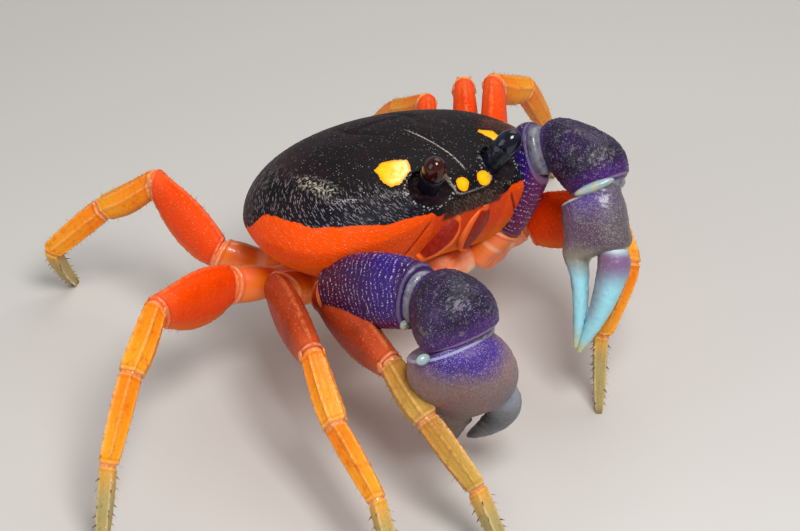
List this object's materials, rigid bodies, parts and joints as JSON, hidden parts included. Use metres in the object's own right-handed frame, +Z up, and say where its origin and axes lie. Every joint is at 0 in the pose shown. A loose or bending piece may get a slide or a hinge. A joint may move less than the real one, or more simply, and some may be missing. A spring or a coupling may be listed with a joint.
{
  "type": "halloween moon crab",
  "caption": "Life-size still model of a halloween moon crab standing on its walking legs with both claws hanging in front.",
  "frame": {"origin": "middle of the model's bounding box, on the floor that the feet stand on", "axes": "+Z up, the crab faces -Y and its left side is +X, so X is the spread of the legs"},
  "size_m": [0.1275, 0.1134, 0.0459],
  "materials": {
    "black_shell": "satin, finely scratched",
    "red_shell": "satin, finely granular",
    "orange_shell": "satin",
    "straw_shell": "dull, bristly",
    "pale_shell": "glossy",
    "violet_shell": "satin, granular",
    "mauve_shell": "satin, finely speckled",
    "eye_dark": "polished"
  },
  "bodies": {
    "root": {"carapace": "black_shell", "thorax": "pale_shell", "pleon": "pale_shell", "eyestalk_l": "black_shell", "eye_l": "eye_dark", "maxilliped_l": "red_shell", "eyestalk_r": "black_shell", "eye_r": "eye_dark", "maxilliped_r": "red_shell", "claw_l_hip": "pale_shell", "claw_l_merus": "violet_shell", "claw_l_carpus": "violet_shell", "claw_l_palm": "mauve_shell", "claw_l_dactyl": "mauve_shell", "claw_r_hip": "pale_shell", "claw_r_merus": "violet_shell", "claw_r_carpus": "violet_shell", "claw_r_palm": "mauve_shell", "claw_r_dactyl": "mauve_shell", "leg_r2_hip": "pale_shell", "leg_r2_merus": "red_shell", "leg_r2_carpus": "orange_shell", "leg_r2_propodus": "orange_shell", "leg_r2_dactylus": "straw_shell", "leg_r3_hip": "pale_shell", "leg_r3_merus": "red_shell", "leg_r3_carpus": "orange_shell", "leg_r3_propodus": "orange_shell", "leg_r3_dactylus": "straw_shell", "leg_r4_hip": "pale_shell", "leg_r4_merus": "red_shell", "leg_r4_carpus": "orange_shell", "leg_r4_propodus": "orange_shell", "leg_r4_dactylus": "straw_shell", "leg_r5_hip": "pale_shell", "leg_r5_merus": "red_shell", "leg_r5_carpus": "orange_shell", "leg_r5_propodus": "orange_shell", "leg_r5_dactylus": "straw_shell", "leg_l2_hip": "pale_shell", "leg_l2_merus": "red_shell", "leg_l2_carpus": "orange_shell", "leg_l2_propodus": "orange_shell", "leg_l2_dactylus": "straw_shell", "leg_l3_hip": "pale_shell", "leg_l3_merus": "red_shell", "leg_l3_carpus": "orange_shell", "leg_l3_propodus": "orange_shell", "leg_l3_dactylus": "straw_shell", "leg_l4_hip": "pale_shell", "leg_l4_merus": "red_shell", "leg_l4_carpus": "orange_shell", "leg_l4_propodus": "orange_shell", "leg_l4_dactylus": "straw_shell", "leg_l5_hip": "pale_shell", "leg_l5_merus": "red_shell", "leg_l5_carpus": "orange_shell", "leg_l5_propodus": "orange_shell", "leg_l5_dactylus": "straw_shell"}
  },
  "joints": []
}
